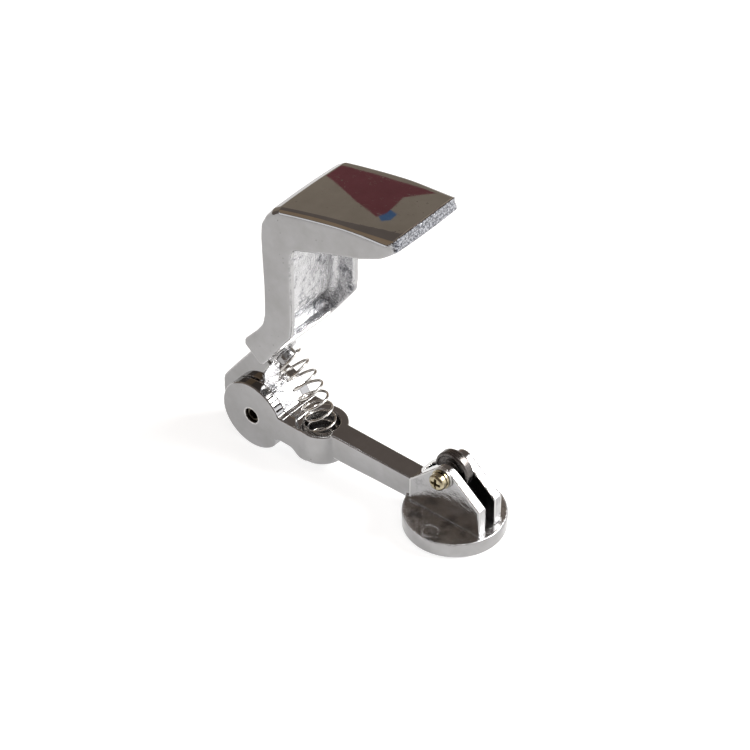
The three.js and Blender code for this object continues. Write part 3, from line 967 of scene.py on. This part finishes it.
    def rawness(self, vertices: Array, normals: Array) -> Array:
        """How much of the cast skin is left: all of the hollow, and part of the open rims, lug and seat."""
        x, y, z = vertices.T
        hollow = np.clip(1 - np.abs(self.hollow(x, y, z)) / 0.5, 0, 1) * (z > 33)
        rim = 0.3 * eased(normals[:, 0], 0.55, 0.85) * (z > 30)
        lug = 0.3 * eased(normals[:, 0], 0.4, 0.7) * (z < self.lug_top)
        return np.maximum(hollow, np.maximum(rim, lug))

    def gate(self, vertices: Array, normals: Array) -> Array:
        """The broken grain where the nose's end was cut from its gate."""
        return eased(vertices[:, 0], -12.5, -10.6) * eased(normals[:, 0], 0.45, 0.8)

    def build(self) -> bpy.types.Object:
        """The casting as a mesh, with the attributes that its finish reads."""
        low = (-70.9, -self.head_half, -0.8)
        high = (-8.9, self.head_half, 85.8)
        vertices, faces = surface_of(self.solid, low, high, self.cell)
        vertices, normals = settle(self.solid, vertices, self.cell)
        piece = make_object("lever_casting_finished", vertices, faces, normals)
        edge = edge_wear(self.solid, vertices, normals)
        gate = self.gate(vertices, normals)
        set_attribute(piece, "edge", edge)
        set_attribute(piece, "raw", np.maximum(self.rawness(vertices, normals) * (1 - 0.8 * edge), gate))
        set_attribute(piece, "gate", gate)
        from_hinge = np.hypot(vertices[:, 0] - self.hinge_x, vertices[:, 2] - self.hinge_z)
        # painted shade in the hinge's bore
        set_attribute(piece, "painted_shade", 0.9 * (from_hinge < self.bore + NEAR))
        return piece


# ---------------------------------------------------------------- spring, pin, roller, screw and washers


@dataclass
class Spring:
    """A wire wound round an axis that stands upright in the cup, then leans back in an arc to the seat."""

    base_x: float = -40.85
    base_z: float = 2.25
    upright: float = 0.8
    arc_radius: float = 24.5
    arc_angle: float = math.radians(60)
    coil_radius: float = 3.55
    wire_radius: float = 0.34
    turns: float = 8.5
    end_gap: float = 0.3
    end_share: float = 0.8
    steps_per_turn: int = 48
    sides: int = 14

    @property
    def length(self) -> float:
        """The length of the axis, from the cup's floor to the seat."""
        return self.upright + self.arc_radius * self.arc_angle

    def axis(self, distance: Array) -> tuple[Array, Array, Array]:
        """The axis's x, z and backward tilt at a distance along it: straight up, then round an arc."""
        tilt = np.maximum(0, distance - self.upright) / self.arc_radius
        x = self.base_x - self.arc_radius * (1 - np.cos(tilt))
        z = self.base_z + np.minimum(distance, self.upright) + self.arc_radius * np.sin(tilt)
        return x, z, tilt

    def wire(self) -> Array:
        """The middle of the wire: a circle square to the axis, at a distance along it that grows evenly."""
        count = int(self.turns * self.steps_per_turn)
        t = np.linspace(0, 1, count)
        clear = self.wire_radius + self.end_gap
        x, z, tilt = self.axis(clear + t * (self.length - 2 * clear))
        turn = t * self.turns * 2 * math.pi
        across = self.coil_radius * np.cos(turn)
        sideways = self.coil_radius * np.sin(turn)
        return np.stack([x + across * np.cos(tilt), sideways, z + across * np.sin(tilt)], axis=1)

    def build(self) -> bpy.types.Object:
        """The wire as a round tube, drawn in at its two cut ends."""
        line = self.wire()
        ahead = np.gradient(line, axis=0)
        ahead /= np.linalg.norm(ahead, axis=1, keepdims=True)
        count = len(line)
        x, z, _ = self.axis(np.linspace(0, self.length, count))
        centre = np.stack([x, np.zeros(count), z], axis=1)
        out = line - centre
        out -= (out * ahead).sum(axis=1, keepdims=True) * ahead
        out /= np.linalg.norm(out, axis=1, keepdims=True)
        side = np.cross(ahead, out)
        angle = np.linspace(0, 2 * math.pi, self.sides, endpoint=False)
        radius = np.full(count, self.wire_radius)
        radius[[0, -1]] *= self.end_share
        ring = out[:, None] * np.cos(angle)[None, :, None] + side[:, None] * np.sin(angle)[None, :, None]
        vertices = (line[:, None] + ring * radius[:, None, None]).reshape(-1, 3)
        faces = sheet_faces(count, self.sides, False, True).tolist()
        faces.append(tuple(range(self.sides))[::-1])
        faces.append(tuple(range((count - 1) * self.sides, count * self.sides)))
        return make_object("compression_spring_wire", vertices, outward(vertices, faces))


@dataclass
class RollPin:
    """A sheet rolled into a tube with a slit along it, and a small chamfer at each end."""

    x: float = -58.8
    z: float = 5.45
    radius: float = 1.98
    bore: float = 1.35
    slit: float = 0.5
    half_length: float = 5.6
    chamfer: float = 0.22
    chamfer_slope: float = 0.7
    points: int = 72

    def build(self) -> bpy.types.Object:
        """A C-shaped section carried along Y; its outer side draws in by the chamfer at both ends."""
        opening = math.asin(self.slit / 2 / self.radius)
        angle = math.pi / 2 + np.linspace(opening, 2 * math.pi - opening, self.points)
        inner_end = self.half_length - self.chamfer
        stations = np.array([-self.half_length, -inner_end, inner_end, self.half_length])
        draw = self.chamfer * self.chamfer_slope * np.array([1, 0, 0, 1])
        outer = (self.radius - draw)[:, None] * np.ones(self.points)[None]
        inner = np.full(outer.shape, self.bore)
        radius = np.concatenate([outer, inner[:, ::-1]], axis=1)
        around = np.concatenate([angle, angle[::-1]])[None]
        along = np.broadcast_to(stations[:, None], radius.shape)
        grid = np.stack([self.x + radius * np.cos(around), along, self.z + radius * np.sin(around)], axis=-1)
        columns = 2 * self.points
        vertices = grid.reshape(-1, 3)
        faces = sheet_faces(len(stations), columns, False, True).tolist()
        step = np.arange(self.points - 1)
        end = (len(stations) - 1) * columns
        ends = np.stack([step, columns - 1 - step, columns - 2 - step, step + 1], axis=1)
        faces += ends.tolist() + (ends[:, ::-1] + end).tolist()
        piece = make_object("hinge_roll_pin_finished", vertices, outward(vertices, faces))
        piece.data.set_sharp_from_angle(angle=math.radians(35))
        return piece


@dataclass
class Roller:
    """A small wheel with rounded rims that turns on the screw."""

    x: float = -0.4
    z: float = 16.9
    radius: float = 4.8
    half: float = 1.4
    bore: float = 1.55
    hub_width: float = 0.9
    dish: float = 0.18

    def build(self) -> bpy.types.Object:
        """A rounded section with a shallow dish in each side, turned about the screw."""
        hub, land, web = self.bore + self.hub_width, self.bore + self.hub_width + 0.3, self.radius - 0.9
        rim = self.radius - 0.6
        upper = [
            (self.radius, self.half - 0.35, 0.5), (rim, self.half, 0.3), (web, self.half - self.dish, 0.3),
            (land, self.half - self.dish, 0.2), (hub, self.half, 0.2), (self.bore, self.half - 0.02, 0.15),
        ]
        lower = [(radius, -height, edge) for radius, height, edge in reversed(upper)]
        section = round_corners(lower + upper)
        return turned_ring("roller_wheel_finished", section, self.x, self.z)


@dataclass
class ScrewStack:
    """The clevis screw with its spring washer and flat washer, stacked outwards from the near ear."""

    x: float = -0.4
    z: float = 16.9
    ear_outer: float = 4.3
    gap: float = 0.02
    shank: float = 1.5
    tip_proud: float = 0.6
    head_radius: float = 2.2
    head_height: float = 1.9
    wing_long: float = 1.5
    wing_half: float = 0.36
    wing_taper: float = 0.6
    wing_narrows: float = 0.1
    recess: float = 1.1
    dome: float = 0.05
    pitch: float = 0.5
    thread_depth: float = 0.09
    thread_start: float = -1.6
    tip_edge: float = 0.35
    flat_inner: float = 1.65
    flat_outer: float = 2.8
    flat_thick: float = 0.5
    split_inner: float = 1.6
    split_outer: float = 2.5
    split_thick: float = 0.7
    cell: float = 0.085

    @property
    def flat_low(self) -> float:
        """Where the flat washer starts, outwards from the middle."""
        return self.ear_outer + self.gap

    @property
    def split_low(self) -> float:
        """Where the spring washer starts."""
        return self.flat_low + self.flat_thick + self.gap

    @property
    def head_low(self) -> float:
        """Where the screw's head starts."""
        return self.split_low + self.split_thick + self.gap

    def screw_solid(self, x: Array, y: Array, z: Array) -> Array:
        """A pan head with a tapering cross recess, on a shank whose tip is chamfered and threaded."""
        across, up, out = x - self.x, z - self.z, -y
        radius = np.hypot(across, up)
        top = self.head_low + self.head_height
        dome = radius**2 * self.dome
        head = shared(shared(radius - self.head_radius, out - top + dome, 0.7), self.head_low - out, 0.15)
        turn = (out / self.pitch + np.arctan2(up, across) / (2 * math.pi)) % 1
        thread = self.thread_depth * np.abs(2 * turn - 1) * (out < self.thread_start)
        tip = -self.ear_outer - self.tip_proud
        shank = shared(radius - self.shank + thread, tip - out, self.tip_edge)
        shank = shared(shank, out - self.head_low - 0.3)
        deep = np.clip((top - out) / self.recess, 0, 1)
        long, half = self.wing_long - self.wing_taper * deep, self.wing_half - self.wing_narrows * deep
        floor = (top - self.recess) - out
        one = shared(np.abs(across) - long, np.abs(up) - half, 0.1)
        two = shared(np.abs(up) - long, np.abs(across) - half, 0.1)
        return cut(joined(head, shank, 0.1), shared(joined(one, two, 0.15), floor), 0.08)

    def screw(self) -> bpy.types.Object:
        """The screw as a mesh."""
        reach = self.head_radius
        low = (self.x - reach, -self.head_low - self.head_height, self.z - reach)
        high = (self.x + reach, self.ear_outer + self.tip_proud, self.z + reach)
        vertices, faces = surface_of(self.screw_solid, low, high, self.cell)
        vertices, normals = settle(self.screw_solid, vertices, self.cell)
        return make_object("clevis_screw_finished", vertices, faces, normals)

    def flat_washer(self) -> bpy.types.Object:
        """A thin ring with rounded edges, turned about the screw."""
        low, high = self.flat_low, self.flat_low + self.flat_thick
        section = round_corners(
            [
                (self.flat_inner, low, 0.08), (self.flat_outer, low, 0.12),
                (self.flat_outer, high, 0.2), (self.flat_inner, high, 0.08),
            ]
        )
        return turned_ring("flat_washer_finished", section, self.x, self.z)

    def spring_washer(self) -> bpy.types.Object:
        """A rounded section carried almost once round the screw, climbing a little from end to end."""
        rise, gap_angle, steps = 0.12, 0.14, 90
        section = round_corners(
            [
                (self.split_inner, self.split_low, 0.1), (self.split_outer, self.split_low, 0.12),
                (self.split_outer, self.split_low + self.split_thick - rise, 0.12),
                (self.split_inner, self.split_low + self.split_thick - rise, 0.1),
            ]
        )
        turn = np.linspace(gap_angle, 2 * math.pi - gap_angle, steps)[:, None]
        climb = rise * np.linspace(0, 1, steps)[:, None]
        radius, height = section[None, :, 0], section[None, :, 1] + climb
        angle = turn + math.radians(78)
        grid = np.stack([self.x + radius * np.cos(angle), -height, self.z + radius * np.sin(angle)], axis=-1)
        vertices = grid.reshape(-1, 3)
        count = len(section)
        faces = sheet_faces(steps, count, False, True).tolist()
        faces.append(tuple(range(count))[::-1])
        faces.append(tuple(range((steps - 1) * count, steps * count)))
        piece = make_object("spring_washer_finished", vertices, outward(vertices, faces))
        piece.data.set_sharp_from_angle(angle=math.radians(50))
        return piece


# ---------------------------------------------------------------- floor, light and camera


def axes_along(azimuth: float, elevation: float) -> tuple[Array, Array, Array]:
    """The axes of a thing hung square to a line of sight.

    Args:
        azimuth: The line's bearing round the vertical, in degrees from +X towards +Y.
        elevation: Its rise above the level, in degrees.

    Returns:
        The level direction across the line, the direction up it, and the line's own direction.
    """
    turn, rise = math.radians(azimuth), math.radians(elevation)
    along = np.array([math.cos(rise) * math.cos(turn), math.cos(rise) * math.sin(turn), math.sin(rise)])
    across = np.array([-math.sin(turn), math.cos(turn), 0.0])
    return across, np.cross(along, across), along


@dataclass(frozen=True)
class Lamp:
    """A square soft light: where it hangs, the point it faces, its side in metres, its watts and colour."""

    name: str
    place: tuple[float, float, float]
    aim: tuple[float, float, float]
    side: float
    power: float
    colour: tuple[float, float, float]

    def build(self) -> None:
        """Hangs it out of the camera's sight."""
        data = bpy.data.lights.new(self.name, "AREA")
        data.shape = "SQUARE"
        data.size = self.side
        data.energy = self.power
        data.color = self.colour
        lamp = bpy.data.objects.new(self.name, data)
        lamp.location = self.place
        lamp.rotation_mode = "QUATERNION"
        lamp.rotation_quaternion = (Vector(self.aim) - Vector(self.place)).to_track_quat("-Z", "Y")
        lamp.visible_camera = False
        bpy.context.scene.collection.objects.link(lamp)


@dataclass(frozen=True)
class Card:
    """A flat glowing card with its corners in metres, which only the polished faces can see."""

    name: str
    corners: Sequence[Sequence[float]]
    colour: tuple[float, float, float]

    def build(self) -> None:
        """Hangs it out of the camera's sight."""
        mesh = bpy.data.meshes.new(self.name)
        mesh.from_pydata([tuple(corner) for corner in self.corners], [], [tuple(range(len(self.corners)))])
        sheet = bpy.data.objects.new(self.name, mesh)
        bpy.context.scene.collection.objects.link(sheet)
        board = Board(self.name)
        board.shader.inputs["Base Color"].default_value = (0.02, 0.02, 0.02, 1)
        board.shader.inputs["Emission Color"].default_value = (*self.colour, 1)
        board.shader.inputs["Emission Strength"].default_value = 1.0
        sheet.data.materials.append(board.material)
        sheet.visible_camera = False
        sheet.visible_diffuse = False


@dataclass(frozen=True)
class Screen:
    """A folding screen of upright cards: its plan, the heights of its two edges, and its colour."""

    name: str
    plan: tuple[tuple[float, float], ...]
    low: float
    high: float
    colour: tuple[float, float, float]

    def build(self) -> None:
        """Stands it up, one card for each fold."""
        for number, (start, end) in enumerate(zip(self.plan, self.plan[1:])):
            corners = ((*start, self.low), (*end, self.low), (*end, self.high), (*start, self.high))
            Card(f"{self.name}_{number}", corners, self.colour).build()


@dataclass
class Studio:
    """A plain pale floor that the arm rests on, soft light from the right and behind, and the camera.

    The curtain and the blue box hang square to a line that rises from the lever's head at the given
    azimuth and elevation. Their corners are metres across and up from that line.
    """

    floor_slope: float = 0.0566
    floor_touch: float = 12.1
    floor_half: float = 1.3
    camera_place: tuple[float, float, float] = (0.28203, -0.37163, 0.43180)
    camera_azimuth: float = -50.4755
    camera_elevation: float = 39.655
    lens: float = 127.67
    floor_glow: float = 0.80
    room_colour: tuple[float, float, float] = (0.232, 0.194, 0.171)
    key: Lamp = Lamp("key", (0.30, 0.28, 0.36), (0.03, 0.03, 0.0), 0.24, 4.0, (1.0, 0.99, 0.97))
    top: Lamp = Lamp("top", (0.45, -0.2, 1.5), (-0.03, 0.0, 0.02), 0.7, 4.0, (1.0, 1.0, 1.0))
    wall: Screen = Screen(
        "wall", ((-1.9, -0.35), (-1.55, 1.1), (-0.75, 1.75), (0.1, 1.9)), -0.2, 1.12, (0.37, 0.31, 0.245)
    )
    low_window: Screen = Screen(
        "low_window", ((-1.02, -0.72), (-0.80, -0.96), (-0.49, -1.15)), 0.02, 0.30, (1.5, 1.5, 1.55)
    )
    brown_shelf: Screen = Screen(
        "brown_shelf", ((-1.22, -0.42), (-1.02, -0.86), (-0.66, -1.20)), 0.42, 1.05, (0.40, 0.285, 0.18)
    )
    bright_wall: Screen = Screen(
        "bright_wall", ((1.30, -0.45), (1.20, 0.70), (0.45, 1.30)), 0.0, 1.6, (1.9, 1.9, 1.95)
    )
    head_place: tuple[float, float, float] = (-0.035, 0.004, 0.082)
    curtain_azimuth: float = 136.863
    curtain_elevation: float = 19.724
    curtain_distance: float = 1.594
    curtain_colour: tuple[float, float, float] = (0.19, 0.036, 0.046)
    curtain_corners: tuple[tuple[float, float], ...] = (
        (0.075, -0.155), (0.05, -0.235), (0.015, -0.155), (-0.045, -0.025), (-0.11, 0.085),
        (-0.04, 0.08), (-0.015, 0.12), (0.01, 0.155), (0.035, 0.165), (0.055, 0.05),
    )
    blue_behind: float = 0.02
    blue_colour: tuple[float, float, float] = (0.06, 0.15, 0.32)
    blue_corners: tuple[tuple[float, float], ...] = (
        (0.03, 0.155), (0.0, 0.14), (-0.01, 0.175), (0.01, 0.20), (0.03, 0.195),
    )

    def floor(self) -> bpy.types.Object:
        """A square sheet, tipped by the small slope at which the knuckle and the foot's rim both touch it."""
        side = np.linspace(-self.floor_half, self.floor_half, 21)
        x, y = np.meshgrid(side, side, indexing="ij")
        z = self.floor_slope * (x - self.floor_touch * MM) - 0.0001
        vertices = np.stack([x, y, z], axis=-1).reshape(-1, 3) / MM
        sheet = make_object("floor", vertices, sheet_faces(21, 21, False, False)[:, ::-1])
        board = Board("pale_floor")
        tint = board.tint(board.noise(6, 3), (0.46, 0.46, 0.46, 1), (0.49, 0.49, 0.49, 1))
        board.feed(board.shader.inputs["Base Color"], tint)
        board.feed(board.shader.inputs["Roughness"], board.ramp(board.noise(30, 3), 0.3, 0.7, 0.75, 0.9))
        board.shader.inputs["Specular IOR Level"].default_value = 0.1
        board.shader.inputs["Emission Color"].default_value = (1, 1, 1, 1)
        board.shader.inputs["Emission Strength"].default_value = self.floor_glow
        sheet.data.materials.append(board.material)
        return sheet

    def hung(
        self, name: str, corners: Sequence[Sequence[float]], distance: float, colour: Sequence[float]
    ) -> Card:
        """A card hung square to the line from the lever's head.

        Args:
            name: The card's name.
            corners: Its corners, in metres across and up from the line.
            distance: How far along the line it hangs, in metres.
            colour: The colour of its glow.

        Returns:
            The card.
        """
        across, up, along = axes_along(self.curtain_azimuth, self.curtain_elevation)
        middle = np.array(self.head_place) + distance * along
        return Card(name, [middle + right * across + rise * up for right, rise in corners], colour)

    def room(self) -> None:
        """The dim warm room round the table."""
        world = bpy.context.scene.world or bpy.data.worlds.new("room")
        bpy.context.scene.world = world
        world.use_nodes = True
        back = world.node_tree.nodes.get("Background")
        back.inputs["Color"].default_value = (*self.room_colour, 1)
        back.inputs["Strength"].default_value = 1.0

    def camera(self) -> None:
        """The camera, looking back along its own bearing."""
        data = bpy.data.cameras.new("camera")
        data.lens = self.lens
        data.sensor_width = 36.0
        data.clip_start = 0.01
        data.clip_end = 20.0
        camera = bpy.data.objects.new("camera", data)
        axes = Matrix([tuple(axis) for axis in axes_along(self.camera_azimuth, self.camera_elevation)])
        camera.rotation_mode = "QUATERNION"
        camera.location = self.camera_place
        camera.rotation_quaternion = axes.transposed().to_quaternion()
        bpy.context.scene.collection.objects.link(camera)
        bpy.context.scene.camera = camera

    def build(self) -> None:
        """Sets all of it up."""
        bpy.context.scene.view_settings.view_transform = "Standard"
        self.camera()
        self.floor()
        self.room()
        for thing in (self.key, self.top, self.wall, self.low_window, self.brown_shelf, self.bright_wall):
            thing.build()
        self.hung("curtain", self.curtain_corners, self.curtain_distance, self.curtain_colour).build()
        blue_distance = self.curtain_distance + self.blue_behind
        self.hung("blue_box", self.blue_corners, blue_distance, self.blue_colour).build()


# ---------------------------------------------------------------- the whole


def main() -> None:
    """Loads the frame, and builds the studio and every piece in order."""
    logging.basicConfig(level=logging.INFO, format="%(name)s %(message)s")
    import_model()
    Studio().build()

    chrome = CHROME.build()
    arm = ArmCasting()
    finish_piece(arm.build(), chrome, Body.ARM, "arm_casting")

    spring = Spring()
    seat_x, seat_z, seat_tilt = spring.axis(np.array(spring.length))
    lever = LeverCasting(seat_place=(float(seat_x), float(seat_z)), seat_tilt=float(seat_tilt))
    finish_piece(lever.build(), chrome, Body.LEVER, "lever_casting")

    wire = spring.build()
    wire.data.materials.append(WIRE.build())
    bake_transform(wire)
    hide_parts("compression_spring")
    LOG.info("%s: %d vertices", wire.name, len(wire.data.vertices))

    finish_piece(RollPin().build(), PIN_STEEL.build(), Body.ARM, "hinge_roll_pin")
    finish_piece(Roller().build(), ROLLER_STEEL.build(), Body.ROLLER, "roller_wheel")
    stack = ScrewStack()
    zinc, washer_steel = ZINC.build(), WASHER_STEEL.build()
    finish_piece(stack.screw(), zinc, Body.ARM, "clevis_screw")
    finish_piece(stack.spring_washer(), zinc, Body.ARM, "spring_washer")
    finish_piece(stack.flat_washer(), washer_steel, Body.ARM, "flat_washer")


if __name__ == "__main__":
    main()
